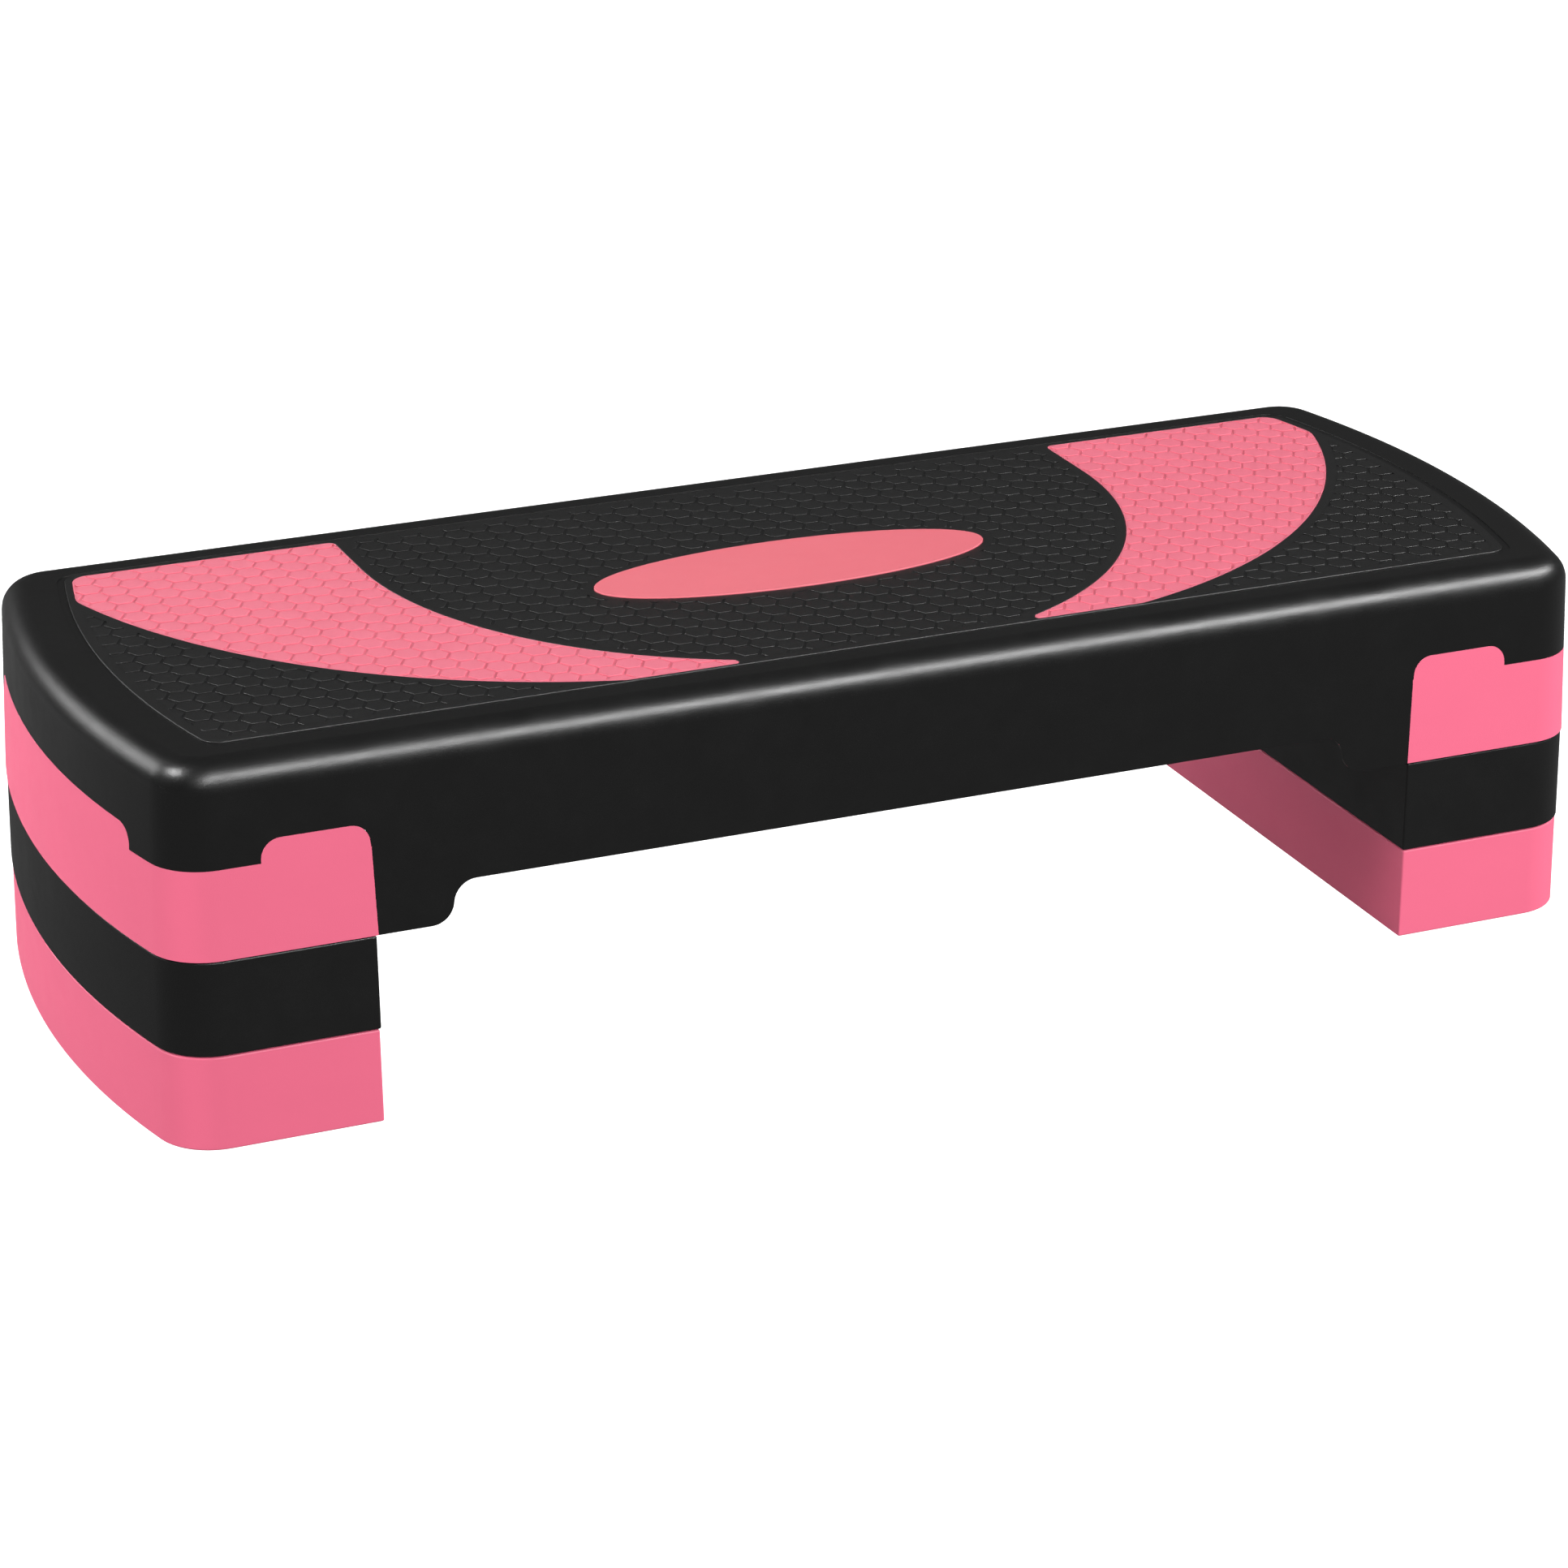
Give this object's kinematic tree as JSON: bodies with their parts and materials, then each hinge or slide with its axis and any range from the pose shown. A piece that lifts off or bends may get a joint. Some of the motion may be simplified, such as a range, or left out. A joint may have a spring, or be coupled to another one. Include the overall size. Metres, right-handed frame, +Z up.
{
  "type": "aerobic step platform",
  "caption": "Height-adjustable aerobic step: ribbed deck with hexagon-textured tread and rounded ends, on end caps and stacked lift-off riser blocks.",
  "frame": {"origin": "on the floor under the middle of the step", "axes": "+X along the step's length, +Y towards its back edge, +Z up from the floor to the tread"},
  "size_m": [0.82, 0.318, 0.201],
  "materials": {
    "deck_black": "satin moulded polypropylene",
    "mat_black": "matte textured tread",
    "badge_coral": "smooth satin",
    "inlay_pink": "matte textured tread",
    "block_pink": "satin moulded polypropylene",
    "block_black": "satin moulded polypropylene",
    "foot_rubber": "matte",
    "screw_steel": "zinc plated"
  },
  "bodies": {
    "deck": {"deck_shell": "deck_black", "tread_mat": "mat_black", "oval_badge": "badge_coral", "left_crescent_inlay": "inlay_pink", "left_end_cap": "block_pink", "left_cap_screws": "screw_steel", "left_cap_feet": "foot_rubber", "right_crescent_inlay": "inlay_pink", "right_end_cap": "block_pink", "right_cap_screws": "screw_steel", "right_cap_feet": "foot_rubber"},
    "left_mid": {"left_mid_riser": "block_black", "left_mid_feet": "foot_rubber"},
    "left_low": {"left_low_riser": "block_pink", "left_low_feet": "foot_rubber"},
    "right_mid": {"right_mid_riser": "block_black", "right_mid_feet": "foot_rubber"},
    "right_low": {"right_low_riser": "block_pink", "right_low_feet": "foot_rubber"}
  },
  "joints": [
    {"name": "left_mid_lift_off", "type": "slide", "parent": "deck", "child": "left_mid", "axis": [0, 0, -1], "range_m": [0, 0.06]},
    {"name": "left_low_lift_off", "type": "slide", "parent": "left_mid", "child": "left_low", "axis": [0, 0, -1], "range_m": [0, 0.06]},
    {"name": "right_mid_lift_off", "type": "slide", "parent": "deck", "child": "right_mid", "axis": [0, 0, -1], "range_m": [0, 0.06]},
    {"name": "right_low_lift_off", "type": "slide", "parent": "right_mid", "child": "right_low", "axis": [0, 0, -1], "range_m": [0, 0.06]}
  ]
}
